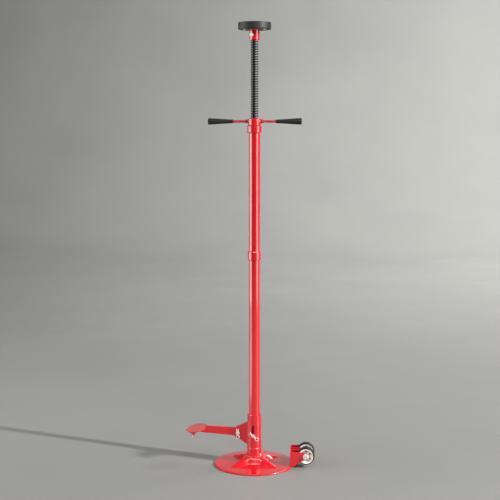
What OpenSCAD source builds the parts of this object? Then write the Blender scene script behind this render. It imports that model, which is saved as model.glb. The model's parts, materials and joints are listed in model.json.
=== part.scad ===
// Underhoist stand: a tall screw stand on a pressed round base, lifted a little by a foot
// pedal and set in height by a spin handle. Origin on the column's axis at the floor, +Z up,
// the pedal towards -X, the lift slots towards -Y and +Y.

/* [Base plate] */
// Outer diameter of the pressed plate
base_d = 305; // [290:1:330]
// Height of the flat rim above the floor
base_rise = 7; // [6:0.5:9]
// Thickness of the pressed plate, measured upright
base_t = 4; // [3:0.5:4.5]
// Radius of the rolled edge
edge_r = 4; // [3:0.5:4.5]
// Height of the dome above the flat rim
dome_h = 29; // [25:1:33]
// Radial width of the steep shoulder round the neck
shoulder_w = 26; // [20:1:34]
// Height of the low cone between the ribs, at the neck
fan_h = 3; // [2:0.5:6]
// Distance from the axis to the tip of a pressed rib
rib_reach = 120; // [110:1:126]
// Half of the widest width of a rib
rib_half_w = 30; // [26:1:32]
// Angle between the wheel line and the ribs on either side of it
rib_angle = 41; // [38:1:45]
// Turn of the base and its wheels about the column, from the line of the pedal
base_turn = 9; // [0:1:12]

/* [Column foot] */
// Outer diameter of the sleeve tube that the pole stands in
sleeve_d = 54; // [52:0.5:56]
// Height of the sleeve's open top above the floor
sleeve_top = 194; // [190:1:210]
// Diameter of the neck collar round the foot of the sleeve
neck_d = 57; // [57:0.5:60]
// Height of the neck collar
neck_h = 32; // [26:1:36]
// Diameter of the foot disc under the sleeve
foot_d = 70; // [64:1:76]
// Thickness of the foot disc's flange
foot_t = 4; // [3:0.5:5]
// Height of the foot disc's plug, which the pole stands on
plug_h = 8; // [6:0.5:12]

/* [Pedal lift] */
// Travel of the pole when the pedal is pressed right down
lift = 35; // [25:1:35]
// Diameter of the cross pin that the pedal lifts
cross_d = 8; // [7:0.5:9]
// Height of the cross pin above the floor at rest
cross_z = 118; // [116:0.5:120]
// Width of the slots that the cross pin rides in
slot_w = 10; // [9.6:0.2:12]
// Diameter of the pedal's pivot pin
pivot_d = 10; // [8:0.5:11]
// Distance of the pivot pin from the column's axis
pivot_x = 62; // [60:0.5:66]
// Height of the pivot pin above the floor
pivot_z = 120.5; // [119:0.5:122]
// Diameter of the wire of the spring clips
clip_wire = 2.8; // [2.4:0.1:3]
// Radius of the loop of a spring clip
clip_loop_r = 6.2; // [5.6:0.1:7]
// Length of the clip on the cross pin, from pin to the middle of its loop
cross_clip_l = 21; // [20:0.5:26]
// Length of the clip on the pivot pin, from pin to the middle of its loop
pivot_clip_l = 15.5; // [15:0.5:22]
// Length of a clip's open end, from pin to tips
clip_tail = 16; // [12:0.5:18]
// Depth of the groove that a clip snaps into
clip_groove = 0.7; // [0.4:0.1:1]

/* [Pedal bracket] */
// Thickness of each cheek plate
cheek_t = 5; // [4:0.5:6]
// Reach of the cheeks from the axis, at their nose
cheek_reach = 73.7; // [73:0.5:76]
// Height of the nose above the floor
cheek_nose_z = 140.7; // [138:0.5:143]
// Height of the cheeks' top where they meet the sleeve
cheek_top_z = 163.5; // [162:0.5:170]
// Distance of the cheeks' chin, below the nose, from the axis
cheek_chin_x = 80; // [76:0.5:82]
// Height of the chin above the floor
cheek_chin_z = 112; // [108:0.5:116]
// Distance of the cheeks' heel from the axis
cheek_heel_x = 54.6; // [53:0.5:57]
// Height of the heel above the floor
cheek_heel_z = 95.5; // [92:0.5:98]
// Length of the level edge at the heel
cheek_heel_w = 12; // [8:0.5:16]
// Height of the cheeks' foot where they meet the sleeve
cheek_foot_z = 77.5; // [76:0.5:84]

/* [Pedal] */
// Thickness of the pedal arm, a flat bar on edge
arm_t = 8; // [6:0.5:8]
// Height of the arm's bar
arm_h = 31; // [28:0.5:32]
// Height of the fork at the arm's inner end
fork_h = 21; // [20:0.5:22]
// Reach of the foot plate's outer edge from the axis
pedal_reach = 264; // [250:1:275]
// Length of the foot plate along the arm
pedal_l = 74; // [66:1:80]
// Width of the foot plate across the arm
pedal_w = 122; // [100:1:130]
// Thickness of the foot plate
pedal_t = 4; // [3:0.5:5]
// Cut at each corner of the foot plate, along the arm
corner_l = 22; // [12:1:26]
// Cut at each corner of the foot plate, across the arm
corner_w = 34; // [20:1:40]
// Height of the foot plate's middle above the floor
pedal_z = 128.5; // [126:0.5:131]
// Outward slope of the foot plate in degrees
pedal_pitch = 5; // [3:0.5:7]
// Depth of the flange along the foot plate's inner edge
flange_h = 12; // [8:0.5:14]
// Diameter of the stop screw under the foot plate
stop_d = 9; // [8:0.5:10]
// Reach of the stop screw below the foot plate
stop_l = 34; // [30:0.5:34]
// Height of the threaded boss that holds the stop screw
boss_h = 22; // [16:1:24]

/* [Pole] */
// Outer diameter of both pole tubes
pole_d = 42; // [40:0.5:43]
// Wall of the pole tubes
pole_t = 3; // [2.5:0.25:3]
// Length of the lower tube
lower_l = 791; // [700:1:850]
// Length of the upper tube
upper_l = 465; // [420:1:520]
// Diameter of the collar over the tubes' joint
collar_d = 50; // [48:0.5:54]
// Height of the collar
collar_h = 34; // [28:1:40]

/* [Bearing housing] */
// Outer diameter of the housing
housing_d = 54; // [52:0.5:58]
// Height of the housing
housing_h = 29; // [28:0.5:34]
// Depth that the upper tube enters the housing
seat_h = 8; // [6:0.5:9]
// Thickness of the key washer that keeps the screw from turning
key_t = 3.5; // [3:0.25:4]
// Thickness of the housing's floor
floor_t = 3; // [2.5:0.25:3.5]
// Thickness of each bearing race
race_t = 3; // [2.5:0.25:3.25]
// Diameter of the bearing balls
ball_d = 4; // [3.5:0.25:4.25]
// Number of bearing balls
ball_count = 18; // [12:1:20]

/* [Spin handle] */
// Diameter of the spin nut inside the housing
nut_d = 42.4; // [41:0.2:43]
// Diameter of the spin nut above the housing
nut_head_d = 47.5; // [45:0.5:50]
// Height of the spin nut above the housing
nut_show = 25; // [22:1:30]
// Diameter of the handle bars
bar_d = 9.5; // [8:0.5:10]
// Height of the bars above the housing
bar_rise = 14; // [12:0.5:15]
// Reach of each grip from the axis
grip_reach = 176; // [160:1:190]
// Length of each grip
grip_l = 95; // [80:1:105]
// Diameter of a grip at its outer end
grip_d = 24.5; // [20:0.5:26]
// Diameter of a grip at its inner end
grip_neck_d = 14.5; // [12:0.5:17]

/* [Lift screw] */
// Outer diameter of the screw thread
screw_d = 30; // [29:0.5:31]
// Rise of the thread in one turn
thread_pitch = 9; // [8:0.5:10]
// Depth of the thread
thread_depth = 2.4; // [2:0.1:2.6]
// Length of the screw
screw_l = 749; // [700:1:760]
// Length of screw that shows between the nut and the saddle socket
screw_show = 286; // [200:1:300]
// Width of the keyway along the screw
keyway_w = 8; // [7:0.5:9]
// Depth of the keyway
keyway_depth = 3.6; // [3.4:0.1:4]

/* [Saddle] */
// Outer diameter of the saddle socket
socket_d = 38; // [37:0.5:42]
// Height of the saddle socket
socket_h = 37; // [32:1:44]
// Diameter of the rubber pad
pad_d = 121; // [112:1:130]
// Height of the rubber pad
pad_h = 26; // [24:1:34]
// Diameter of the steel plate let into the pad's underside
plate_d = 100; // [94:1:104]
// Thickness of the steel plate
plate_t = 5; // [4:0.5:6]
// Turn of the saddle about the screw
saddle_turn = 12; // [0:1:30]

/* [Wheels] */
// Diameter of each wheel over its tyre
wheel_d = 66; // [62:1:70]
// Width of each tyre
wheel_w = 30; // [26:1:31]
// Distance of the axle from the column's axis
axle_x = 197; // [195:1:202]
// Height of the axle above the floor
axle_z = 45; // [43:0.5:48]
// Diameter of the axle bolt
axle_d = 12; // [10:0.5:13]
// Distance of the fork's upright plate from the column's axis
web_x = 137; // [134:1:139]
// Height of the fork's top above the floor
fork_top = 62.3; // [60:0.5:66]
// Thickness of the fork's plate
fork_t = 3; // [2.5:0.25:4]
// Distance from the middle line to each fork's inner cheek
fork_in = 12; // [10:0.5:14]
// Clear width inside a fork
fork_gap = 33; // [32.5:0.5:36]
// Radius of the cheek round the axle
ear_r = 14; // [12:0.5:15]

/* [Hidden] */
$fn = 96;

// Overrun of every cut, and the gaps between pieces that fit or move
cut = 1;
slide_gap = 0.3;
seat_gap = 0.05;
run_gap = 0.05;
thread_gap = 0.2;
window_gap = 2;
arm_gap = 1;

// Heights up the column
sleeve_r = sleeve_d / 2;
pole_r = pole_d / 2;
sleeve_bore = pole_d + 2 * slide_gap;
neck_z = base_rise + dome_h;
pole_z = foot_t + plug_h;
joint_z = pole_z + lower_l;
tube_top_z = joint_z + upper_l;
housing_z = tube_top_z - seat_h;
housing_top_z = housing_z + housing_h;
key_z = tube_top_z;
floor_z = key_z + key_t;
race_z = floor_z + floor_t;
track_h = ball_d + 2 * seat_gap;
upper_race_z = race_z + race_t + track_h;
nut_z = upper_race_z + race_t;
nut_top_z = housing_top_z + nut_show;
bar_z = housing_top_z + bar_rise;
socket_z = nut_top_z + screw_show;
plate_z = socket_z + socket_h;
pad_top_z = plate_z + pad_h;

// Angle of the line from the pivot to the cross pin at rest, and the turn that lifts the pin fully
rest_angle = atan2(cross_z - pivot_z, pivot_x);
press_angle = atan2(cross_z + lift - pivot_z, pivot_x) - rest_angle;

function unit(v) = v / norm(v);
function ease(t) = t <= 0 ? 0 : t >= 1 ? 1 : t * t * (3 - 2 * t);
function arc_points(centre, r, from, to, steps) =
    [for (i = [0:steps]) let (a = from + (to - from) * i / steps) centre + r * [cos(a), sin(a)]];

module red() { color([0.86, 0.09, 0.13]) children(); }
module zinc() { color([0.78, 0.79, 0.80]) children(); }
module steel() { color([0.55, 0.56, 0.58]) children(); }
module black_steel() { color([0.10, 0.10, 0.11]) children(); }
module rubber() { color([0.07, 0.07, 0.08]) children(); }
module pale() { color([0.88, 0.87, 0.83]) children(); }

// A round bar from z = low to z = high
module bar(d, low, high) {
    translate([0, 0, low]) cylinder(d = d, h = high - low);
}

// A tube from z = low to z = high
module tube(d, bore, low, high) {
    difference() {
        bar(d, low, high);
        bar(bore, low - cut, high + cut);
    }
}

// A round bar along Y
module bar_y(d, from, to) {
    translate([0, to, 0]) rotate([90, 0, 0]) cylinder(d = d, h = to - from);
}

// A hexagonal bar along Y, measured across its flats
module hex_y(flats, from, to) {
    translate([0, to, 0]) rotate([90, 0, 0]) cylinder(d = flats / cos(30), h = to - from, $fn = 6);
}

// Mesh rows of points, each closed on itself, joined into one skin; ring joins the last row to the first
module skin(rows, ring = false) {
    n = len(rows);
    m = len(rows[0]);
    points = [for (row = rows) for (p = row) p];
    last = ring ? n - 1 : n - 2;
    sides = [for (i = [0:last]) for (k = [0:m - 1])
        let (j = (i + 1) % n, q = (k + 1) % m, a = i * m + k, b = i * m + q, c = j * m + q, d = j * m + k)
        each [[a, b, c], [a, c, d]]];
    caps = ring ? [] : [
        each [for (k = [1:m - 2]) [0, k + 1, k]],
        each [for (k = [1:m - 2]) [(n - 1) * m, (n - 1) * m + k, (n - 1) * m + k + 1]]
    ];
    polyhedron(points = points, faces = concat(sides, caps));
}

// The pressed base plate
neck_r = neck_d / 2;
seat_r = neck_r + 2 * base_t / 3;
hole_r = sleeve_r + slide_gap;
base_r = base_d / 2;
flat_r = base_r - edge_r;
widest_u_share = 0.44;
root_w_share = 0.73;
crown_share = 0.1;
rib_angles = [rib_angle, 180 - rib_angle, 180 + rib_angle, 360 - rib_angle];
radial_shares = [0, 0.04, 0.09, 0.14, 0.19, 0.24, 0.3, 0.4, 0.54, 0.7, 0.85, 0.95, 1];
turn_shares = [0, 0.06, 0.13, 0.21, 0.31, 0.43, 0.57, 0.72, 0.87];

// Half width of a rib at distance u along it
function rib_w(u) =
    let (t = (u - seat_r) / (rib_reach - seat_r))
    rib_half_w * (t < widest_u_share
        ? root_w_share + (1 - root_w_share) * t / widest_u_share
        : max(0, (1 - t) / (1 - widest_u_share)));
// How far a point at distance v beside the rib's crest is up the rib's side, from 0 to 1
function rib_side(u, v) = rib_w(u) <= 0 ? 0 : ease((1 - abs(v) / rib_w(u)) / (1 - crown_share));
function fall(r) = max(0, 1 - (r - seat_r) / (rib_reach - seat_r));
function hub_rise(r) = ease(1 - (r - seat_r) / shoulder_w);
function rib_rise(r, a) = max([for (c = rib_angles) cos(a - c) > 0 ? rib_side(r * cos(a - c),
    r * sin(a - c)) : 0]);
// Height of the plate's top above its flat rim
function dome(r, a) =
    let (low = max(fan_h * fall(r), dome_h * hub_rise(r)))
    low + (max(low, dome_h * fall(r)) - low) * rib_rise(r, a);

plate_turns = [
    for (side = [0:3])
        let (from = rib_angles[side], to = side < 3 ? rib_angles[side + 1] : rib_angles[0] + 360,
            half = (to - from) / 2)
        each concat(
            [for (s = turn_shares) from + half * s],
            [from + half],
            [for (i = [len(turn_shares) - 1:-1:1]) to - half * turn_shares[i]]
        )
];
plate_radii = concat([for (s = radial_shares) seat_r + (rib_reach - seat_r) * s], [flat_r]);

function plate_row(r, drop) = [for (a = plate_turns) [r * cos(a), r * sin(a),
    base_rise + dome(r, a) - drop]];
function flat_row(r, z) = [for (a = plate_turns) [r * cos(a), r * sin(a), z]];

module base_plate() {
    top = [for (r = plate_radii) plate_row(r, 0)];
    under = [for (i = [len(plate_radii) - 1:-1:0]) plate_row(plate_radii[i]
        - (i == len(plate_radii) - 1 ? base_t / 2 : 0), base_t)];
    edge = [for (a = [60, 30, 0]) flat_row(flat_r + edge_r * cos(a), base_rise - edge_r + edge_r * sin(a))];
    foot = [flat_row(base_r, 0), flat_row(base_r - base_t, 0)];
    red() rotate([0, 0, base_turn])
        skin(concat([flat_row(hole_r, neck_z)], top, edge, foot, under,
            [flat_row(hole_r, neck_z - base_t)]), ring = true);
}

module foot_disc() {
    red() {
        bar(foot_d, 0, foot_t);
        bar(sleeve_bore - 2 * seat_gap, foot_t - foot_t / 2, pole_z);
    }
}

// The sleeve with its two lift slots and the window that the pedal's fork enters by
slot_r = slot_w / 2;
slot_low = cross_z - cross_d / 2 - seat_gap;
slot_high = cross_z + lift + cross_d / 2 + seat_gap;
fork_w = arm_t + 2 * arm_gap;

// Height of the fork's top (side 1) or underside (side -1) at distance x from the axis, pedal pressed
function fork_edge_z(x, side) = pivot_z + (pivot_x - x) * tan(press_angle)
    + side * fork_h / 2 / cos(press_angle);

sleeve_window_low = pivot_z - fork_h / 2 - window_gap;
sleeve_window_high = fork_edge_z(sleeve_bore / 2, 1) + window_gap;

module sleeve_tube() {
    red() difference() {
        tube(sleeve_d, sleeve_bore, foot_t, sleeve_top);
        for (z = [slot_low + slot_r, slot_high - slot_r])
            translate([0, 0, z]) bar_y(slot_w, -sleeve_d, sleeve_d);
        translate([-slot_r, -sleeve_d, slot_low + slot_r])
            cube([slot_w, 2 * sleeve_d, slot_high - slot_low - slot_w]);
        translate([-sleeve_d, -fork_w / 2, sleeve_window_low])
            cube([sleeve_d, fork_w, sleeve_window_high - sleeve_window_low]);
    }
}

// The neck collar: a ring with a bead at its top and a wider one at its foot
bead_h = neck_h / 5;
bead_out = neck_d / 40;

module neck_collar() {
    red() translate([0, 0, neck_z]) rotate_extrude() polygon([
        [sleeve_r, 0], [neck_r + bead_out, 0], [neck_r + 2 * bead_out, bead_h / 3],
            [neck_r + 2 * bead_out, bead_h * 2 / 3],
        [neck_r + bead_out / 2, bead_h], [neck_r - bead_out / 2, bead_h * 5 / 4],
            [neck_r - bead_out / 2, neck_h - bead_h * 5 / 4],
        [neck_r + bead_out / 2, neck_h - bead_h], [neck_r + bead_out / 2, neck_h - bead_h / 3],
        [neck_r - bead_out / 2, neck_h], [sleeve_r, neck_h]
    ]);
}

// The clevis of two cheek plates welded to the sleeve, and the pivot pin through it
cheek_y = arm_t / 2 + arm_gap;
pin_end = 11;
head_t = 3;

module pedal_bracket() {
    outline = [
        [-sleeve_r / 2, cheek_top_z], [-sleeve_r, cheek_top_z], [-cheek_reach, cheek_nose_z],
        [-cheek_chin_x, cheek_chin_z], [-cheek_heel_x - cheek_heel_w, cheek_heel_z],
        [-cheek_heel_x, cheek_heel_z], [-sleeve_r, cheek_foot_z], [-sleeve_r / 2, cheek_foot_z]
    ];
    red() for (y = [-cheek_y, cheek_y + cheek_t]) difference() {
        translate([0, y, 0]) rotate([90, 0, 0]) linear_extrude(cheek_t) polygon(outline);
        bar(sleeve_d, 0, sleeve_top);
        translate([-pivot_x, 0, pivot_z]) bar_y(pivot_d + 2 * run_gap, -sleeve_d, sleeve_d);
    }
}

// A headed pin along Y with a groove for its spring clip
module clip_pin(d, back, front, clip_y) {
    groove_w = clip_wire + 2 * slide_gap;
    bar_y(d - 2 * clip_groove, clip_y - groove_w, clip_y + groove_w);
    bar_y(d, front, clip_y - groove_w / 2);
    bar_y(d, clip_y + groove_w / 2, back + head_t / 2);
    bar_y(d + 2 * head_t, back, back + head_t);
}

// A spring clip: two legs that pinch, hump round the pin's groove and flare at the open end
module spring_clip(d, reach) {
    hump_r = d / 2 - clip_groove + clip_wire / 2 + 3 * seat_gap;
    pinch = clip_wire / 2 + slide_gap;
    leg = concat(
        [[-clip_tail, 2.5 * pinch], [-hump_r - clip_wire / 2, pinch]],
        arc_points([0, 0], hump_r, 140, 40, 6),
        [[(reach - clip_loop_r + hump_r) / 2, pinch]],
        arc_points([reach, 0], clip_loop_r, 150, 25, 6)
    );
    path = concat(leg, [[reach + clip_loop_r, 0]], [for (i = [len(leg) - 1:-1:0]) [leg[i][0], -leg[i][1]]]);
    rows = [for (i = [0:len(path) - 1])
        let (dir = unit(path[min(i + 1, len(path) - 1)] - path[max(i - 1, 0)]), side = [-dir[1], dir[0]])
        [for (k = [0:7]) let (a = -45 * k)
            [path[i][0] + side[0] * cos(a) * clip_wire / 2,
                path[i][1] + side[1] * cos(a) * clip_wire / 2, sin(a) * clip_wire / 2]]];
    skin(rows);
}

pivot_front = -cheek_y - cheek_t - pin_end;
pivot_clip_y = -cheek_y - cheek_t - pin_end / 2;
pivot_clip_angle = 90;
cross_back = sleeve_r + slide_gap;
cross_front = -sleeve_r - pin_end;
cross_clip_y = -sleeve_r - pin_end / 2;
cross_clip_angle = 38;

module pivot_pin() {
    zinc() translate([-pivot_x, 0, pivot_z])
        clip_pin(pivot_d, cheek_y + cheek_t, pivot_front, pivot_clip_y);
}

module pivot_clip() {
    zinc() translate([-pivot_x, pivot_clip_y, pivot_z]) rotate([0, pivot_clip_angle, 0]) rotate([90, 0, 0])
        spring_clip(pivot_d, pivot_clip_l);
}

module cross_pin() {
    zinc() translate([0, 0, cross_z]) clip_pin(cross_d, cross_back, cross_front, cross_clip_y);
}

module cross_clip() {
    zinc() translate([0, cross_clip_y, cross_z]) rotate([0, cross_clip_angle, 0]) rotate([90, 0, 0])
        spring_clip(cross_d, cross_clip_l);
}

// The pedal arm: a flat bar on edge, forked round the cross pin and notched under the foot plate
jaw_gap = 1.5;
fork_slot = cross_d + 2 * jaw_gap;
slot_root = norm([pivot_x, cross_z - pivot_z]) - cross_d / 4;
fork_tip = norm([pivot_x, cross_z + lift - pivot_z]) + cross_d / 2;
arm_low = pivot_z + arm_h / 12 - arm_h / 2;
arm_top = arm_low + arm_h;
stop_share = 0.27;
pedal_in = pedal_reach - pedal_l;
pedal_mid = pedal_reach - pedal_l / 2;
stop_x = pedal_reach - pedal_l * stop_share;
boss_d = 1.8 * stop_d;
nose_x = stop_x - boss_d / 2 - arm_gap;
fork_root = pivot_x - pivot_d;
arm_lift = arm_h / 8;

// Height of the foot plate's top face at distance x from the axis
function foot_plate_z(x) = pedal_z - (x - pedal_mid) * tan(pedal_pitch);

module pedal_arm() {
    under = pedal_t / cos(pedal_pitch);
    outline = [
        [-pedal_in, arm_top], [-pivot_x - pivot_d, arm_top], [-fork_root, pivot_z + fork_h / 2],
        [fork_tip - pivot_x, pivot_z + fork_h / 2], [fork_tip - pivot_x, pivot_z - fork_h / 2],
        [-fork_root, pivot_z - fork_h / 2], [-pivot_x - pivot_d, arm_low], [-pedal_in, arm_low + arm_lift],
        [-nose_x, arm_low + 2 * arm_lift], [-nose_x, foot_plate_z(nose_x) - under],
            [-pedal_in, foot_plate_z(pedal_in) - under]
    ];
    red() difference() {
        translate([0, arm_t / 2, 0]) rotate([90, 0, 0]) linear_extrude(arm_t) polygon(outline);
        translate([-pivot_x, 0, pivot_z]) {
            bar_y(pivot_d + 2 * run_gap, -arm_t, arm_t);
            rotate([0, -rest_angle, 0]) {
                translate([slot_root, 0, 0]) bar_y(fork_slot, -arm_t, arm_t);
                translate([slot_root, -arm_t, -fork_slot / 2]) cube([pivot_x, 2 * arm_t, fork_slot]);
            }
        }
    }
}

// Places a child in the foot plate's own frame: its top face at z = 0, its middle at the origin
module on_foot_plate() {
    translate([-pedal_mid, 0, pedal_z]) rotate([0, -pedal_pitch, 0]) children();
}

module foot_plate() {
    x = pedal_l / 2 / cos(pedal_pitch);
    y = pedal_w / 2;
    cx = x - corner_l;
    cy = y - corner_w;
    red() difference() {
        on_foot_plate() {
            translate([0, 0, -pedal_t]) linear_extrude(pedal_t) polygon([
                [-cx, -y], [cx, -y], [x, -cy], [x, cy], [cx, y], [-cx, y], [-x, cy], [-x, -cy]
            ]);
            translate([x - pedal_t, -cy, -flange_h]) cube([pedal_t, 2 * cy, flange_h - pedal_t / 2]);
        }
        translate([-pedal_reach, -arm_t / 2, 0]) cube([2 * pedal_l, arm_t,
            foot_plate_z(pedal_mid) - pedal_t - pedal_l * tan(pedal_pitch)]);
        difference() {
            translate([-pedal_reach, -arm_t / 2, 0]) cube([2 * pedal_l, arm_t, arm_top]);
            on_foot_plate() translate([-pedal_l, -pedal_w, -pedal_t])
                cube([2 * pedal_l, 2 * pedal_w, pedal_l]);
        }
    }
}

stop_local_x = (pedal_mid - stop_x) / cos(pedal_pitch);

module stop_boss() {
    red() on_foot_plate() translate([stop_local_x, 0, 0])
        tube(boss_d, stop_d + 2 * seat_gap, -pedal_t - boss_h, -pedal_t);
}

module stop_screw() {
    zinc() on_foot_plate() translate([stop_local_x, 0, -pedal_t]) {
        bar(stop_d, -stop_l + stop_d / 4, 0);
        translate([0, 0, -stop_l]) cylinder(d1 = stop_d / 2, d2 = stop_d, h = stop_d / 4);
    }
}

// The pole: two tubes butted inside a collar
pole_bore = pole_d - 2 * pole_t;
tube_window_low = fork_edge_z(pole_r, -1) - lift - window_gap;
tube_window_high = pivot_z + fork_h / 2 + window_gap;

module lower_tube() {
    red() difference() {
        tube(pole_d, pole_bore, pole_z, joint_z);
        translate([0, 0, cross_z]) bar_y(cross_d + 4 * seat_gap, -pole_d, pole_d);
        translate([-pole_d, -fork_w / 2, tube_window_low])
            cube([pole_d, fork_w, tube_window_high - tube_window_low]);
    }
}

module upper_tube() {
    red() tube(pole_d, pole_bore, joint_z, tube_top_z);
}

// A revolved ring with its outer edges cut back
module soft_ring(d, bore, low, high, edge) {
    rotate_extrude() polygon([
        [bore / 2, low], [d / 2 - edge, low], [d / 2 - edge / 3, low + edge / 3], [d / 2, low + edge],
        [d / 2, high - edge], [d / 2 - edge / 3, high - edge / 3], [d / 2 - edge, high], [bore / 2, high]
    ]);
}

module joint_collar() {
    red() soft_ring(collar_d, pole_d + 2 * seat_gap, joint_z - collar_h / 2, joint_z + collar_h / 2,
        (collar_d - pole_d) / 3);
}

// The housing at the pole's top and the thrust bearing inside it
screw_clear = screw_d + 4 * slide_gap;
cavity_d = nut_d + 3 * slide_gap;
housing_edge = (housing_d - cavity_d) / 3;

module bearing_housing() {
    red() difference() {
        soft_ring(housing_d, screw_clear, housing_z, housing_top_z, housing_edge);
        bar(pole_d + 2 * seat_gap, housing_z - cut, floor_z);
        bar(cavity_d, race_z, housing_top_z + cut);
    }
}

module key_washer() {
    tongue_w = keyway_w - 2 * slide_gap;
    tongue_tip = screw_d / 2 - keyway_depth + slide_gap;
    tongue_root = screw_clear / 2 + key_t / 4;
    steel() {
        tube(pole_d, screw_clear, key_z, key_z + key_t);
        translate([-tongue_w / 2, -tongue_root, key_z]) cube([tongue_w, tongue_root - tongue_tip, key_t]);
    }
}

race_d = nut_d - slide_gap;
ball_ring_r = (race_d + screw_clear) / 4;

module lower_race() {
    steel() tube(race_d, screw_clear, race_z, race_z + race_t);
}

module upper_race() {
    steel() tube(race_d, screw_clear, upper_race_z, upper_race_z + race_t);
}

module bearing_balls() {
    steel() for (i = [0:ball_count - 1]) rotate([0, 0, 360 * i / ball_count])
        translate([ball_ring_r, 0, race_z + race_t + track_h / 2]) sphere(d = ball_d);
}

module ball_cage() {
    mid_z = race_z + race_t + track_h / 2;
    steel() difference() {
        tube(race_d, screw_clear, mid_z - ball_d / 8, mid_z + ball_d / 8);
        for (i = [0:ball_count - 1]) rotate([0, 0, 360 * i / ball_count])
            translate([ball_ring_r, 0, mid_z]) cylinder(d = ball_d + 2 * seat_gap, h = ball_d,
                center = true);
    }
}

// The spin nut with two bosses for the handle bars
nut_edge = nut_head_d / 20;
nut_tip_d = nut_head_d - 2 * nut_edge;
nut_gap = 1;
boss_w = 1.5 * bar_d;
boss_reach = nut_head_d * 0.71;
bar_root = screw_d / 2 + (nut_d - screw_d) * 0.3;

// Places a child that runs along +Z so that it runs out along the handle, to either side
module along_handle(side) {
    translate([0, 0, bar_z]) rotate([0, 90 * side, 0]) children();
}

module spin_nut() {
    red() difference() {
        union() {
            bar(nut_d, nut_z, nut_top_z - nut_edge);
            bar(nut_head_d, housing_top_z + nut_gap, nut_top_z - nut_edge);
            translate([0, 0, nut_top_z - nut_edge]) cylinder(d1 = nut_head_d, d2 = nut_tip_d, h = nut_edge);
            for (side = [-1, 1]) along_handle(side) bar(boss_w, nut_d / 2 - nut_edge, boss_reach);
        }
        bar(screw_d + 2 * thread_gap, nut_z - cut, nut_top_z + cut);
        for (side = [-1, 1]) along_handle(side) bar(bar_d + 2 * seat_gap, bar_root, boss_reach + cut);
    }
}

grip_end = grip_d / 4;

// Radius of a grip at a share of its length: a slim neck that flares to the outer end
function grip_r(share) = (grip_neck_d + (grip_d - grip_neck_d) * ease(share)) / 2;

bar_tip = grip_reach - grip_end;

module handle_bars() {
    red() for (side = [-1, 1]) along_handle(side) bar(bar_d, bar_root, bar_tip);
}

module grip(side) {
    from = grip_reach - grip_l;
    rubber() along_handle(side) difference() {
        rotate_extrude() polygon([
            [0, from],
            for (i = [0:12]) [grip_r(i / 12), from + (grip_l - grip_end / 3) * i / 12],
            [grip_d / 2 - grip_end / 3, grip_reach], [0, grip_reach]
        ]);
        bar(bar_d + 2 * seat_gap, from - cut, bar_tip);
    }
}

module left_grip() { grip(-1); }

module right_grip() { grip(1); }

// The lift screw: ring-cut thread, with a keyway down its -Y side
screw_top = plate_z - 2 * seat_gap - socket_h / 20;
screw_z = screw_top - screw_l;
thread_end = screw_d / 3;

module lift_screw() {
    turns = floor((screw_l - socket_h - thread_end) / thread_pitch);
    crest = screw_d / 2;
    root = crest - thread_depth;
    first = screw_z + thread_end;
    black_steel() difference() {
        rotate_extrude() polygon(concat(
            [[0, screw_z], [root, screw_z], [crest, screw_z + thread_depth]],
            [for (i = [0:turns - 1]) let (z = first + i * thread_pitch) each [
                [crest, z], [root, z + thread_depth * 0.6], [root, z + thread_pitch / 2],
                    [crest, z + thread_pitch / 2 + thread_depth * 0.6]
            ]],
            [[crest, screw_top - thread_depth], [root, screw_top], [0, screw_top]]
        ));
        translate([-keyway_w / 2, -screw_d, screw_z - cut])
            cube([keyway_w, screw_d / 2 + keyway_depth, screw_l + 2 * cut]);
    }
}

// The ring pinned to the screw's foot, which stops it under the key washer
ring_h = 10;
ring_pin_d = 5;

module stop_ring() {
    steel() difference() {
        tube(pole_bore - 4 * slide_gap, screw_d + 2 * seat_gap, screw_z, screw_z + ring_h);
        translate([0, 0, screw_z + ring_h / 2]) rotate([0, 90, 0])
            cylinder(d = ring_pin_d + 2 * seat_gap, h = pole_d, center = true);
    }
}

module stop_ring_pin() {
    reach = pole_bore / 2 - 4 * slide_gap;
    steel() for (side = [-1, 1]) translate([0, 0, screw_z + ring_h / 2]) rotate([0, 90 * side, 0])
        bar(ring_pin_d, screw_d / 2 + seat_gap, reach);
}

// The saddle: socket, set bolt, steel plate and rubber pad
bolt_d = 8;
bolt_flats = 13;
bolt_head_h = 5.5;
bolt_turn = -119;
bolt_z = socket_z + socket_h / 2;
screw_turns = [-150, -30, 90];
pad_screw_r = 43;
pad_screw_d = 5.5;
pad_edge = pad_h / 10;

module at_bolt() {
    translate([0, 0, bolt_z]) rotate([0, 0, saddle_turn + bolt_turn]) rotate([0, 90, 0]) children();
}

module saddle_socket() {
    red() difference() {
        tube(socket_d, screw_d + 2 * seat_gap, socket_z, plate_z);
        at_bolt() bar(bolt_d + 2 * seat_gap, 0, socket_d);
    }
}

module set_bolt() {
    zinc() at_bolt() {
        bar(bolt_d, screw_d / 2 + seat_gap, socket_d / 2 + slide_gap + bolt_head_h / 2);
        translate([0, 0, socket_d / 2 + slide_gap]) cylinder(d = bolt_flats / cos(30), h = bolt_head_h,
            $fn = 6);
    }
}

module at_pad_screws() {
    for (turn = screw_turns) rotate([0, 0, saddle_turn + turn]) translate([pad_screw_r, 0, 0]) children();
}

module saddle_plate() {
    zinc() difference() {
        bar(plate_d, plate_z, plate_z + plate_t);
        at_pad_screws() bar(pad_screw_d + 2 * seat_gap, plate_z - cut, plate_z + plate_t + cut);
    }
}

pad_screw_top = plate_z + pad_h * 0.6;

module rubber_pad() {
    rubber() difference() {
        soft_ring(pad_d, 0, plate_z, pad_top_z, pad_edge);
        bar(plate_d + 2 * seat_gap, plate_z - cut, plate_z + plate_t);
        at_pad_screws() bar(pad_screw_d + 2 * seat_gap, plate_z, pad_screw_top);
    }
}

module pad_screws() {
    head_h = 0.65 * pad_screw_d;
    zinc() at_pad_screws() {
        bar(pad_screw_d, plate_z - head_h / 2, pad_screw_top);
        bar(2 * pad_screw_d, plate_z - head_h, plate_z);
    }
}

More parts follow.
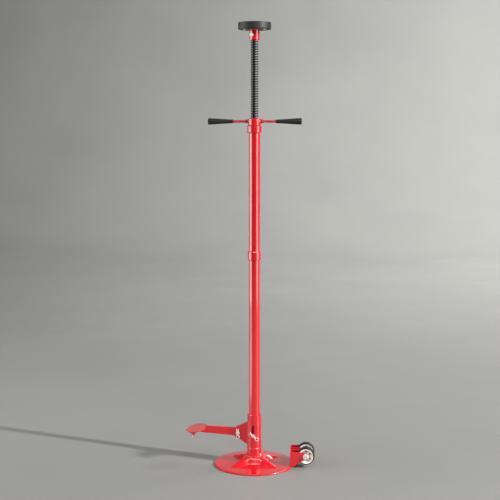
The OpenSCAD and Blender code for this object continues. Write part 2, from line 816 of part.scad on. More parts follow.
// The two wheel forks on the base, at the wheel line's +X end
fork_out = fork_in + fork_gap + 2 * fork_t;
wheel_y = fork_in + fork_t + fork_gap / 2;
washer_t = 2;
washer_d = 2 * axle_d;
axle_nut_h = 0.8 * axle_d;
axle_flats = 1.5 * axle_d;

module on_wheel_line() {
    rotate([0, 0, base_turn]) children();
}

module wheel_fork(side) {
    ear = [axle_x, axle_z];
    outline = concat(
        [[web_x, base_rise], [web_x, fork_top], [web_x + (axle_x - web_x) * 0.57, fork_top]],
        [ear + ear_r * [cos(68), sin(68)], ear, ear + ear_r * [cos(118), -sin(118)]],
        [[web_x + (axle_x - web_x) * 0.22, base_rise]]
    );
    red() on_wheel_line() mirror([0, side < 0 ? 1 : 0, 0]) difference() {
        union() {
            for (y = [fork_in, fork_out - fork_t]) translate([0, y + fork_t, 0]) rotate([90, 0, 0])
                linear_extrude(fork_t) {
                polygon(outline);
                translate(ear) circle(r = ear_r);
            }
            translate([web_x, fork_in, base_rise]) cube([fork_t, fork_out - fork_in, fork_top - base_rise]);
        }
        translate([axle_x, 0, axle_z]) bar_y(axle_d + 2 * run_gap, 0, 2 * fork_out);
    }
}

module front_fork() { wheel_fork(-1); }

module rear_fork() { wheel_fork(1); }

module on_axle() {
    on_wheel_line() translate([axle_x, 0, axle_z]) children();
}

module axle_bolt() {
    head_y = fork_out + washer_t;
    zinc() on_axle() {
        bar_y(axle_d, -head_y - axle_nut_h / 2, head_y + 1.3 * axle_nut_h);
        hex_y(axle_flats, -head_y - 0.65 * axle_d, -head_y);
    }
}

module axle_washers() {
    zinc() on_axle() for (side = [-1, 1]) difference() {
        bar_y(washer_d, side < 0 ? -fork_out - washer_t : fork_out,
            side < 0 ? -fork_out : fork_out + washer_t);
        bar_y(axle_d + 2 * seat_gap, -2 * fork_out, 2 * fork_out);
    }
}

module axle_nut() {
    zinc() on_axle() difference() {
        hex_y(axle_flats, fork_out + washer_t, fork_out + washer_t + axle_nut_h);
        bar_y(axle_d + 2 * seat_gap, 0, 2 * fork_out);
    }
}

// A wheel: pale hub with a recessed, slotted web, a thin black tyre and a steel bush
tyre_t = wheel_d * 0.068;
hub_r = wheel_d / 2 - tyre_t;
hub_w = wheel_w - 2 * tyre_t / 3;
bush_d = axle_d * 1.35;
bush_w = fork_gap - 2 * slide_gap;
web_w = wheel_w * 0.36;
rim_t = wheel_d * 0.075;
nave_r = wheel_d * 0.15;
slot_count = 6;

module on_wheel(side) {
    on_axle() translate([0, side * wheel_y, 0]) rotate([90, 0, 0]) children();
}

module wheel_hub(side) {
    slot_mid_r = (nave_r + hub_r - rim_t) / 2;
    slot_d = (hub_r - rim_t - nave_r) * 0.62;
    pale() on_wheel(side) difference() {
        rotate_extrude() polygon([
            [bush_d / 2 + seat_gap, -hub_w / 2], [nave_r, -hub_w / 2], [nave_r, -web_w / 2],
                [hub_r - rim_t, -web_w / 2],
            [hub_r - rim_t * 0.8, -hub_w / 2], [hub_r, -hub_w / 2], [hub_r, hub_w / 2],
                [hub_r - rim_t * 0.8, hub_w / 2],
            [hub_r - rim_t, web_w / 2], [nave_r, web_w / 2], [nave_r, hub_w / 2],
                [bush_d / 2 + seat_gap, hub_w / 2]
        ]);
        for (i = [0:slot_count - 1]) rotate([0, 0, 360 * i / slot_count])
            translate([slot_mid_r, 0, 0]) cylinder(d = slot_d, h = 2 * wheel_w, center = true);
    }
}

module wheel_tyre(side) {
    w = wheel_w / 2;
    rubber() on_wheel(side) rotate_extrude() polygon([
        [hub_r, -hub_w / 2], [hub_r + tyre_t / 3, -w], [hub_r + tyre_t * 0.7, -w + tyre_t / 4],
            [hub_r + tyre_t, -w + tyre_t],
        [hub_r + tyre_t, w - tyre_t], [hub_r + tyre_t * 0.7, w - tyre_t / 4], [hub_r + tyre_t / 3, w],
            [hub_r, hub_w / 2]
    ]);
}

module wheel_bush(side) {
    steel() on_wheel(side) tube(bush_d, axle_d + 2 * run_gap, -bush_w / 2, bush_w / 2);
}

module front_hub() { wheel_hub(-1); }

module front_tyre() { wheel_tyre(-1); }

module front_bush() { wheel_bush(-1); }

module rear_hub() { wheel_hub(1); }

module rear_tyre() { wheel_tyre(1); }

module rear_bush() { wheel_bush(1); }

base_plate();
foot_disc();
sleeve_tube();
neck_collar();
pedal_bracket();
pivot_pin();
pivot_clip();
front_fork();
rear_fork();
axle_bolt();
axle_washers();
axle_nut();
pedal_arm();
foot_plate();
stop_boss();
stop_screw();
lower_tube();
joint_collar();
upper_tube();
cross_pin();
cross_clip();
bearing_housing();
key_washer();
lower_race();
bearing_balls();
ball_cage();
upper_race();
spin_nut();
handle_bars();
left_grip();
right_grip();
lift_screw();
stop_ring();
stop_ring_pin();
saddle_socket();
set_bolt();
saddle_plate();
rubber_pad();
pad_screws();
front_hub();
front_tyre();
front_bush();
rear_hub();
rear_tyre();
rear_bush();
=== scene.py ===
"""Looks of the underhoist stand: a finish for every piece, and fine pieces where the frame's are plain."""

import json
import math

import bmesh
import bpy
from mathutils import Matrix, Vector


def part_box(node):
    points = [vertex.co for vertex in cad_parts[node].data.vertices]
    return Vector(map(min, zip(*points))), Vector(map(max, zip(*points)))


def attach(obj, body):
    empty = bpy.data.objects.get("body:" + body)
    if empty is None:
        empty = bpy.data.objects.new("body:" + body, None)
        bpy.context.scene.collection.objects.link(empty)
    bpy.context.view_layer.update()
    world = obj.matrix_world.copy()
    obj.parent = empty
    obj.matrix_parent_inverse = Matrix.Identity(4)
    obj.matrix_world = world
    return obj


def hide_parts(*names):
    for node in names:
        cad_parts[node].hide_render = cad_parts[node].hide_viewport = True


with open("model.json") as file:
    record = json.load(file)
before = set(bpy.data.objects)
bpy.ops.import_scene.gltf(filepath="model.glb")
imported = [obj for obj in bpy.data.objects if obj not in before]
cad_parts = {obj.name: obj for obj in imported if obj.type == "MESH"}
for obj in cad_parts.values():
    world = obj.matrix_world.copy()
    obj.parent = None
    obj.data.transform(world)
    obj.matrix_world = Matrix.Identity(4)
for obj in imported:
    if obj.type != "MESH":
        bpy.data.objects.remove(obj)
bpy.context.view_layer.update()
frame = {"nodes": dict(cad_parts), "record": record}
NODES = frame["nodes"]

MM = 0.001
TAU = 2 * math.pi
STILL = Matrix.Identity(4)

# The camera: a pinhole fitted to the photograph, turned a little aside and tilted down
CAMERA_TURN = math.radians(12.0)
CAMERA_YAW = math.radians(0.237)
CAMERA_TILT = math.radians(6.55)
CAMERA_DISTANCE = 4.1
CAMERA_HEIGHT = 1.295
IMAGE_PIXELS = 500
FOCAL_PIXELS = 1101
SENSOR_MM = 36
CAMERA_AWAY = (-0.208, 0.978, 0)

# The backdrop: the floor's reach to the front, its flat part, its rise at the back, and the wall
FLOOR_FRONT = -16.0
FLOOR_FLAT = 4.0
FLOOR_HALF_W = 22.0
SWEEP_START = 6.5
SWEEP_R = 4.0
WALL_TOP = 9.0

# Pressed base plate
BASE_TURN = math.radians(9.0)
NECK_R = 28.5 * MM
SLEEVE_R = 27 * MM
HOLE_GAP = 0.3 * MM
PLATE_RISE = 7 * MM
PLATE_T = 4 * MM
PLATE_R = 152.5 * MM
EDGE_R = 4 * MM
FOOT_CHAMFER_W = 0.4 * MM
FOOT_CHAMFER_H = 0.6 * MM
DOME_H = 29 * MM
SHOULDER_W = 26 * MM
FAN_H = 3 * MM
SEAT_R = NECK_R + 2 * PLATE_T / 3
RIB_REACH = 120 * MM
RIB_HALF_W = 30 * MM
RIB_ANGLE = math.radians(41)
WIDEST_SHARE = 0.44
ROOT_W_SHARE = 0.73
CROWN_SHARE = 0.1

# The painted shade on the lower tube, which darkens it in the sleeve's slot, fades out between these two
# heights
SHADE_TOP = 150 * MM
PAINT_START = 157 * MM

# Weld beads: the spacing of a bead's points, and the length and share of its ripples
BEAD_STEP = 0.55 * MM
RIPPLE_L = 2.2 * MM
RIPPLE_SHARE = 0.10

# Round welds: the circle's radius and the bead's radius
NECK_FOOT_WELD = (31.2 * MM, 2.0 * MM)
NECK_TOP_WELD = (27.9 * MM, 1.3 * MM)
SOCKET_WELD = (19.2 * MM, 1.5 * MM)
BOSS_WELD = (8.1 * MM, 1.5 * MM)
BAR_WELD = (7.5 * MM, 1.3 * MM)
NECK_WELD_RISE = 0.3 * MM
SOCKET_WELD_DROP = 0.4 * MM
BOSS_WELD_DROP = 0.6 * MM
BAR_WELD_GAP = 0.1 * MM

# Straight welds: the bead's radius, and where the seams lie; those of the forks in mm
FORK_BEAD_R = 1.5 * MM
ARM_BEAD_R = 1.4 * MM
BRACKET_BEAD_R = 1.6 * MM
BRACKET_WELD_X = -25.2 * MM
BRACKET_WELD_Y = 10.2 * MM
BRACKET_WELD_INSET = 2 * MM
FORK_SEAMS = (
    ((137.0, 12.6, 7.2), (137.0, 50.4, 7.2)),
    ((140.6, 15.4, 7.2), (148.0, 15.4, 7.2)),
    ((140.6, 47.6, 7.2), (148.0, 47.6, 7.2)),
)
ARM_SEAM = ((36 * MM, 4.4 * MM, -0.5 * MM), (-6 * MM, 4.4 * MM, -0.5 * MM))

# Thread forms: each stop is (share of the pitch, share of the depth)
SCREW_PITCH = 9 * MM
SCREW_DEPTH = 2.4 * MM
SCREW_R = 15 * MM
SCREW_THREAD = (
    (0.0, 0.97), (0.03, 0.85), (0.15, 0.0), (0.49, 0.0), (0.63, 0.85), (0.66, 0.97), (0.70, 1.0), (0.96, 1.0),
)
FINE_THREAD = ((0.0, 0.85), (0.12, 1.0), (0.25, 0.85), (0.55, 0.0), (0.7, 0.0))
SPARE_TURNS = 2
KEYWAY_W = 8 * MM
KEYWAY_DEPTH = 3.6 * MM
KEYWAY_CLEAR = math.radians(3)
KEYWAY_FLOOR_SHARE = 0.8

# Spring clips
CLIP_WIRE = 2.8 * MM
CLIP_LOOP_R = 6.2 * MM
CLIP_TAIL = 16 * MM
CLIP_SPLAY = 2.5
CLIP_GROOVE = 0.7 * MM
CLIP_GAP = 0.15 * MM
PINCH_GAP = 0.3 * MM
CROSS_CLIP = (8 * MM, 21 * MM, math.radians(38))
PIVOT_CLIP = (10 * MM, 15.5 * MM, math.radians(90))

# Bolts and nuts: a turned corner starts at this share of the half width and drops at this slope
HEX_FACE_SHARE = 0.97
HEX_SLOPE = 0.6
HEX_STEPS = 96
WASHER_FACE_H = 0.4 * MM

# Axle bolt: its seats lie this far from the middle, under the head and under the nut
AXLE_LINE = (-math.sin(BASE_TURN), math.cos(BASE_TURN), 0)
AXLE_D = 12 * MM
AXLE_SEAT = 53.0 * MM
AXLE_FLATS = 1.5 * AXLE_D
AXLE_HEAD_H = 0.65 * AXLE_D
AXLE_FACE_R = 0.7 * AXLE_D
SHANK_IN_HEAD = 1 * MM
SHANK_SHORT = 8 * MM
THREAD_INSIDE = 10 * MM

# Axle nut with the collar that grips the thread
AXLE_NUT_H = 0.8 * AXLE_D
THREAD_OUTSIDE = 1.3 * AXLE_NUT_H
NUT_BORE_GAP = 0.05 * MM
NUT_HEX_SHORT = 3 * MM
COLLAR_H = 3.2 * MM
COLLAR_FOOT_R = 8.4 * MM
COLLAR_TOP_R = 8.0 * MM
COLLAR_LIP_R = 6.6 * MM
COLLAR_DISH = 0.4 * MM
COLLAR_ROUND = 0.9 * MM

# Set bolt: its seat and its tip lie this far from the column's middle
SET_BOLT_SEAT = 19.3 * MM
SET_BOLT_TIP = 15.1 * MM
SET_BOLT_FLATS = 13 * MM
SET_BOLT_HEAD_H = 5.5 * MM
SET_BOLT_FACE_R = 5.9 * MM
SET_BOLT_LAP = 0.6 * MM

# Pedal
PEDAL_PITCH = math.radians(5)
PEDAL_MID = Vector((-227, 0, 128.5)) * MM
PEDAL_T = 4 * MM
STOP_X = -17.09 * MM
STOP_L = 34 * MM
STOP_D = 9 * MM
STOP_THREAD_START = 1.5 * MM

# The stop screw's tip: radius and height of its corners, in mm
STOP_TIP = ((0, 0), (2.2, 0), (2.9, 0.8), (3.6, 1.9), (0, 1.9))

# Fine threads: crest radius, depth and pitch
AXLE_THREAD = (AXLE_D / 2, 0.9 * MM, 1.75 * MM)
STOP_THREAD = (STOP_D / 2, 0.7 * MM, 1.25 * MM)
SET_BOLT_THREAD = (4 * MM, 0.6 * MM, 1.25 * MM)

# Spin handle
NUT_R = 23.75 * MM
GRIP_START = 81 * MM
GRIP_END = 176 * MM
GRIP_BORE_R = 4.8 * MM
GRIP_MOUTH_H = 0.8 * MM
GRIP_MOUTH_W = 0.6 * MM
GRIP_ROUND = 2.6 * MM
GRIP_CAP_T = 9 * MM
GRIP_THIN_MM = 14
GRIP_THICK_MM = 23.2
GRIP_STEPS = 28

# Saddle
SADDLE_TURN = math.radians(12)
BOLT_TURN = math.radians(-119)
PAD_DRAFT_W = 0.6 * MM
PAD_DRAFT_H = 3 * MM
PAD_ROUND = 2.6 * MM
PAD_PLATE_GAP = 0.1 * MM

# The pad's button head screws: the head's dome, its flat top with the drive's socket, and the shank
PAD_SCREW_TURNS = (-150, -30, 90)
PAD_SCREW_CIRCLE_R = 43 * MM
BUTTON_H = 3.575 * MM
BUTTON_R = 5.5 * MM
BUTTON_EDGE_H = 0.4 * MM
BUTTON_FLAT_R = 2.6 * MM
BUTTON_ARC = range(35, 90, 9)
BUTTON_DOME_POWER = 0.7
DRIVE_R = 1.9 * MM
DRIVE_SIDE_H = 1.6 * MM
DRIVE_MIDDLE_H = 2.0 * MM
PAD_SHANK_R = 2.75 * MM
PAD_SHANK_L = 14 * MM

# Wheels
HUB_HALF = 13.45 * MM
WEB_HALF = 5.4 * MM
HUB_R = 28.51 * MM
RIM_LIP_R = 24.4 * MM
RIM_INNER_R = 23.0 * MM
NAVE_R = 10.2 * MM
HUB_BORE_R = 8.15 * MM
BORE_SEAM = 1 * MM
RIM_ROUND = 0.9 * MM
NAVE_ROUND = 0.6 * MM
WEB_IN_NAVE = 0.6 * MM
WEB_IN_RIM = 0.8 * MM
TYRE_HALF = 15 * MM
TYRE_T = 4.488 * MM
TYRE_CHAMFER_W = 1.2 * MM
TYRE_CHAMFER_H = 1.5 * MM
TREAD_SHARE = 0.985
TREAD_DROP = 3.2 * MM
TREAD_ANGLE = 78
TREAD_POWER = 0.8
TREAD_STEPS = 24

# Hub slots: angles in degrees from a slot's middle, where its straight sides and its round ends stop
SLOT_COUNT = 6
SLOT_R = 17.0 * MM
SLOT_HALF = 3.9 * MM
SLOT_FLAT_TURN = 8.0
SLOT_END_TURN = 19.0
SLOT_STEPS = 28

# Plates of the frame whose edges are rounded by modifiers: how wide, in mm
SOFT_EDGES = {"pedal_arm": 0.6, "foot_plate": 0.7, "front_fork": 0.5, "rear_fork": 0.5, "stop_boss": 0.6}
EDGE_SEGMENTS = 2
EDGE_ANGLE = math.radians(38.0)

# Flat plates that don't mirror the softboxes
PLATES = ("pressed_base", "foot_plate", "pedal_arm")

# Light colours
WHITE = (1.0, 1.0, 1.0)
WARM = (1.0, 0.98, 0.97)
SUNNY = (1.0, 0.98, 0.95)
PALE = (1.0, 0.99, 0.97)


def middle(node):
    """Middle of a frame node's box."""
    low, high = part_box(node)
    return (low + high) / 2


# Materials


class Shader:
    """Builds one node material, with the principled shader ready to take its values."""

    def __init__(self, name):
        self.material = bpy.data.materials.new(name)
        self.material.use_nodes = True
        self.tree = self.material.node_tree
        self.shader = self.tree.nodes["Principled BSDF"]
        self.place = self.tree.nodes.new("ShaderNodeTexCoord").outputs["Object"]

    def set(self, **values):
        """Sets the shader's own sockets."""
        for name, value in values.items():
            self.shader.inputs[name.replace("_", " ")].default_value = value
        return self

    def noise(self, scale, detail=2.0, roughness=0.5, stretch=(1, 1, 1)):
        """Noise in the object's own coordinates."""
        mapping = self.tree.nodes.new("ShaderNodeMapping")
        mapping.inputs["Scale"].default_value = stretch
        self.tree.links.new(self.place, mapping.inputs["Vector"])
        node = self.tree.nodes.new("ShaderNodeTexNoise")
        node.inputs["Scale"].default_value = scale
        node.inputs["Detail"].default_value = detail
        node.inputs["Roughness"].default_value = roughness
        self.tree.links.new(mapping.outputs["Vector"], node.inputs["Vector"])
        return node.outputs["Fac"]

    def ramp(self, source, *stops):
        """Colour ramp through (position, colour) stops."""
        node = self.tree.nodes.new("ShaderNodeValToRGB")
        elements = node.color_ramp.elements
        while len(elements) < len(stops):
            elements.new(0.5)
        for element, (position, colour) in zip(elements, stops):
            element.position = position
            element.color = (*colour, 1)
        self.tree.links.new(source, node.inputs["Fac"])
        return node.outputs["Color"]

    def span(self, source, low, high, start=0.0, end=1.0):
        """Maps a value from start..end to low..high."""
        node = self.tree.nodes.new("ShaderNodeMapRange")
        node.inputs["From Min"].default_value = start
        node.inputs["From Max"].default_value = end
        node.inputs["To Min"].default_value = low
        node.inputs["To Max"].default_value = high
        self.tree.links.new(source, node.inputs["Value"])
        return node.outputs["Result"]

    def feed(self, socket, source):
        """Links a source to one of the shader's sockets."""
        self.tree.links.new(source, self.shader.inputs[socket])
        return self

    def bump(self, source, strength, distance):
        """Fine relief from a height."""
        node = self.tree.nodes.new("ShaderNodeBump")
        node.inputs["Strength"].default_value = strength
        node.inputs["Distance"].default_value = distance
        self.tree.links.new(source, node.inputs["Height"])
        self.tree.links.new(node.outputs["Normal"], self.shader.inputs["Normal"])
        return self


def gloss_coat(s, **values):
    """Roughness, orange peel and clear gloss that both red coats share."""
    s.feed("Roughness", s.span(s.noise(60, 3), 0.26, 0.36))
    s.bump(s.noise(520, 2), 0.15, 0.0002)
    return s.set(Coat_Roughness=0.1, Coat_IOR=1.65, **values).material


def red_paint():
    """Glossy powder coat: a faint orange peel under a clear gloss."""
    s = Shader("red_paint")
    s.feed("Base Color", s.ramp(s.noise(9, 3), (0.3, (0.41, 0.0012, 0.006)), (0.7, (0.46, 0.002, 0.009))))
    return gloss_coat(s, Coat_Weight=1.0, IOR=1.4)


def slot_shade_paint():
    """The red coat of the lower tube with painted shade: darker and with less clear coat below the sleeve's
    top, so the tube looks shaded in the sleeve's slot.
    """
    s = Shader("slot_shade_paint")
    split = s.tree.nodes.new("ShaderNodeSeparateXYZ")
    s.tree.links.new(s.place, split.inputs["Vector"])
    # Painted shade: below the sleeve's top the tube's red darkens and its clear coat thins
    unshaded = s.span(split.outputs["Z"], 0.0, 1.0, SHADE_TOP, PAINT_START)
    s.feed("Base Color", s.ramp(unshaded, (0.0, (0.2, 0.001, 0.003)), (1.0, (0.435, 0.0016, 0.0075))))
    s.feed("Coat Weight", s.span(unshaded, 0.1, 1.0))
    return gloss_coat(s, IOR=1.35)


def black_steel():
    """Oiled black oxide on a cut thread, with random tone and the thread's crests painted lighter as a
    highlight.
    """
    s = Shader("black_steel")
    nodes, links = s.tree.nodes, s.tree.links
    flat = nodes.new("ShaderNodeVectorMath")
    flat.operation = "MULTIPLY"
    flat.inputs[1].default_value = (1, 1, 0)
    links.new(s.place, flat.inputs[0])
    reach = nodes.new("ShaderNodeVectorMath")
    reach.operation = "LENGTH"
    links.new(flat.outputs["Vector"], reach.inputs[0])
    # Painted highlight: the tone lightens towards the thread's crests, with random noise on top
    tone_and_crest_highlight = nodes.new("ShaderNodeMath")
    tone_and_crest_highlight.operation = "MULTIPLY_ADD"
    tone_and_crest_highlight.inputs[1].default_value = 0.5
    links.new(s.noise(140, 4), tone_and_crest_highlight.inputs[0])
    links.new(s.span(reach.outputs["Value"], 0.0, 1.0, SCREW_R - SCREW_DEPTH, SCREW_R), tone_and_crest_highlight.inputs[2])
    stops = (0.3, (0.006, 0.006, 0.007)), (0.9, (0.018, 0.018, 0.019)), (1.0, (0.12, 0.12, 0.117))
    s.feed("Base Color", s.ramp(tone_and_crest_highlight.outputs["Value"], *stops))
    s.feed("Roughness", s.span(s.noise(220, 3), 0.42, 0.56))
    s.bump(s.noise(900, 3), 0.25, 0.0001)
    return s.set(Metallic=0.2, IOR=1.4).material


def black_plate():
    """Black lacquer on the plate under the pad, matt and a little uneven."""
    s = Shader("black_plate")
    s.feed("Base Color", s.ramp(s.noise(90, 4), (0.3, (0.012, 0.012, 0.013)), (0.75, (0.03, 0.03, 0.031))))
    s.feed("Roughness", s.span(s.noise(160, 3), 0.5, 0.66))
    s.bump(s.noise(700, 3), 0.2, 0.0001)
    return s.set(IOR=1.45).material


def zinc():
    """Bright zinc plate with a faint cloudy bloom."""
    s = Shader("zinc")
    s.feed("Base Color", s.ramp(s.noise(180, 4), (0.3, (0.50, 0.50, 0.485)), (0.7, (0.62, 0.62, 0.60))))
    s.feed("Roughness", s.span(s.noise(300, 3), 0.3, 0.44))
    s.bump(s.noise(1400, 2), 0.12, 0.0001)
    return s.set(Metallic=0.45, IOR=1.6).material


def bearing_steel():
    """Ground steel with fine turning marks."""
    s = Shader("bearing_steel")
    s.feed("Base Color", s.ramp(s.noise(120, 3), (0.3, (0.42, 0.42, 0.43)), (0.7, (0.56, 0.56, 0.57))))
    s.feed("Roughness", s.span(s.noise(80, 2, stretch=(1, 1, 30)), 0.22, 0.4))
    return s.set(Metallic=1.0).material


def rubber(name, light, roughness):
    """Moulded rubber: near black, with a dusty bloom and a fine pebble."""
    s = Shader(name)
    s.feed("Base Color", s.ramp(s.noise(260, 5, 0.7), (0.4, (0.005, 0.005, 0.0055)), (0.65, light)))
    s.feed("Roughness", s.span(s.noise(90, 3), roughness - 0.08, roughness + 0.08))
    s.bump(s.noise(1100, 3), 0.3, 0.0002)
    return s.set(IOR=1.4).material


def pale_nylon():
    """Moulded off-white nylon, a little waxy."""
    s = Shader("pale_nylon")
    s.feed("Base Color", s.ramp(s.noise(50, 3), (0.3, (0.70, 0.68, 0.64)), (0.7, (0.78, 0.76, 0.73))))
    s.feed("Roughness", s.span(s.noise(200, 2), 0.32, 0.44))
    s.bump(s.noise(700, 2), 0.12, 0.0001)
    return s.set(IOR=1.52).material


def floor_paint():
    """Plain pale sealed floor with a soft sheen."""
    s = Shader("floor_paint")
    s.feed("Base Color", s.ramp(s.noise(0.9, 4), (0.3, (0.178, 0.18, 0.175)), (0.7, (0.197, 0.199, 0.193))))
    s.feed("Roughness", s.span(s.noise(2.5, 3), 0.34, 0.46))
    return s.set(IOR=1.25).material


FINISH = {
    "red_paint": red_paint(),
    "black_steel": black_steel(),
    "zinc": zinc(),
    "bearing_steel": bearing_steel(),
    "black_rubber": rubber("black_rubber", (0.016, 0.0165, 0.017), 0.5),
    "black_tyre": rubber("black_tyre", (0.011, 0.011, 0.0115), 0.3),
    "pale_nylon": pale_nylon(),
}

for row in frame["record"]["subparts"]:
    node_mesh = NODES[row["node"]].data
    node_mesh.materials.clear()
    node_mesh.materials.append(FINISH[row["material_slot"]])
# The lower tube gets a coat with painted shade where it sits inside the sleeve
NODES["lower_tube"].data.materials[0] = slot_shade_paint()
NODES["saddle_plate"].data.materials[0] = black_plate()


# Shapes


def axes(origin, along, side):
    """Placement with its Z along one direction and its X towards another."""
    z = Vector(along).normalized()
    x = Vector(side) - z * z.dot(Vector(side))
    x.normalize()
    matrix = Matrix((x, z.cross(x), z)).transposed().to_4x4()
    matrix.translation = origin
    return matrix


def piece(name, shapes, body, slot, replaces=(), sharp=32.0):
    """Makes one object from (points, faces, placement) shapes and puts it on its body."""
    points = []
    faces = []
    for shape_points, shape_faces, placement in shapes:
        start = len(points)
        points += [placement @ Vector(p) for p in shape_points]
        faces += [[start + i for i in face] for face in shape_faces]
    mesh = bpy.data.meshes.new(name)
    mesh.from_pydata(points, [], faces)
    work = bmesh.new()
    work.from_mesh(mesh)
    bmesh.ops.remove_doubles(work, verts=work.verts, dist=1e-7)
    bmesh.ops.recalc_face_normals(work, faces=work.faces)
    work.to_mesh(mesh)
    work.free()
    mesh.validate()
    mesh.shade_smooth()
    mesh.set_sharp_from_angle(angle=math.radians(sharp))
    mesh.materials.append(FINISH[slot])
    thing = bpy.data.objects.new(name, mesh)
    bpy.context.scene.collection.objects.link(thing)
    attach(thing, body)
    if replaces:
        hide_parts(*replaces)


def polar(radius, turn):
    """Plane coordinates of a point at a radius and an angle."""
    return radius * math.cos(turn), radius * math.sin(turn)


def ring(radius, height, count):
    """Evenly spaced points of a level circle."""
    return [(*polar(radius, TAU * i / count), height) for i in range(count)]


def strip(rows, loop=False, caps=False):
    """Quads between closed rows of points; loop joins the last row to the first, caps close both ends."""
    count = len(rows[0])
    points = [p for row in rows for p in row]
    faces = []
    for j in range(len(rows) if loop else len(rows) - 1):
        a, b = j * count, (j + 1) % len(rows) * count
        for i in range(count):
            k = (i + 1) % count
            faces.append([a + i, a + k, b + k, b + i])
    if caps:
        faces += [list(range(count))[::-1], [len(points) - count + i for i in range(count)]]
    return points, faces


def lathe(profile, steps, loop=False):
    """A revolved profile of (radius, height) pairs; a radius of zero makes a pole."""
    points = []
    rings = []
    for radius, height in profile:
        start = len(points)
        if radius <= 0:
            rings.append([start] * steps)
            points.append((0, 0, height))
        else:
            rings.append([start + i for i in range(steps)])
            points += ring(radius, height, steps)
    faces = []
    for a, b in zip(rings, rings[1:] + rings[:1] if loop else rings[1:]):
        for i in range(steps):
            k = (i + 1) % steps
            face = []
            for index in (a[i], a[k], b[k], b[i]):
                if index not in face:
                    face.append(index)
            if len(face) > 2:
                faces.append(face)
    return points, faces


# A rounded corner takes at most this share of either side
CORNER_SHARE = 0.45


def rounded(profile, radius, steps=4):
    """Rounds the corners of an open profile; its two ends stay."""
    points = [Vector(p) for p in profile]
    result = [points[0]]
    for before, here, after in zip(points, points[1:], points[2:]):
        back, on = before - here, after - here
        reach = min(radius, back.length * CORNER_SHARE, on.length * CORNER_SHARE)
        start, end = here + back.normalized() * reach, here + on.normalized() * reach
        for i in range(steps + 1):
            t = i / steps
            result.append(start * (1 - t) ** 2 + here * 2 * t * (1 - t) + end * t**2)
    result.append(points[-1])
    return [tuple(p) for p in result]


# A rod's rounded end: shares of its radius, across and along
ROUND_END = ((1.0, 0.0), (0.92, 0.22), (0.7, 0.4), (0.35, 0.5))


def sweep(path, radii, sides=14, loop=False):
    """A round rod along a path, with a radius for each point; open ends are rounded off."""
    count = len(path)
    rows = []
    normal = None
    for i, here in enumerate(path):
        before = path[i - 1] if loop or i else here
        after = path[(i + 1) % count] if loop or i < count - 1 else here
        along = (after - before).normalized()
        if normal is None:
            normal = along.orthogonal().normalized()
        normal = (normal - along * normal.dot(along)).normalized()
        across = along.cross(normal)
        spokes = [c * normal + s * across for c, s in (polar(1, TAU * k / sides) for k in range(sides))]
        if not loop and i in (0, count - 1):
            out = along * (-1 if i == 0 else 1)
            ends = [[here + out * radii[i] * b + v * radii[i] * a for v in spokes] for a, b in ROUND_END]
            rows += ends[::-1] if i == 0 else ends
        else:
            rows.append([here + v * radii[i] for v in spokes])
    return strip(rows, loop=loop, caps=not loop)


def bead(path, size, loop=False):
    """A weld bead: a rod with the low ripples that the weld's steps leave."""
    path = [Vector(p) for p in path]
    radii = []
    travelled = 0.0
    for i, here in enumerate(path):
        if i:
            travelled += (here - path[i - 1]).length
        radii.append(size * (1 + RIPPLE_SHARE * math.sin(TAU * travelled / RIPPLE_L)))
    return sweep(path, radii, sides=10, loop=loop)


def straight_weld(start, end, size, place=STILL):
    """A straight weld bead with its placement."""
    start, end = Vector(start), Vector(end)
    count = max(2, round((end - start).length / BEAD_STEP))
    return (*bead([start.lerp(end, i / count) for i in range(count + 1)], size), place)


def round_weld(weld, height, place=STILL):
    """A weld bead round a circle with its placement."""
    radius, size = weld
    return (*bead(ring(radius, height, round(TAU * radius / BEAD_STEP)), size, loop=True), place)


def hexagon(flats, low, high, turned_low, turned_high):
    """A hexagonal prism whose corners are turned down at one or both ends, closed by flat discs."""
    half = flats / 2
    side = math.radians(60)
    corner = half / math.cos(side / 2)
    face = half * HEX_FACE_SHARE
    turned = [((corner - face) * HEX_SLOPE * t, face + (corner - face) * t) for t in (0, 0.35, 0.7, 1)]
    levels = [(low + drop, limit) for drop, limit in turned] if turned_low else [(low, corner)]
    levels += [(high - drop, limit) for drop, limit in turned[::-1]] if turned_high else [(high, corner)]
    rows = []
    for height, limit in levels:
        row = []
        for i in range(HEX_STEPS):
            turn = TAU * i / HEX_STEPS
            wide = half / math.cos((turn + side / 2) % side - side / 2)
            row.append((*polar(min(wide, limit), turn), height))
        rows.append(row)
    return strip(rows, caps=True)


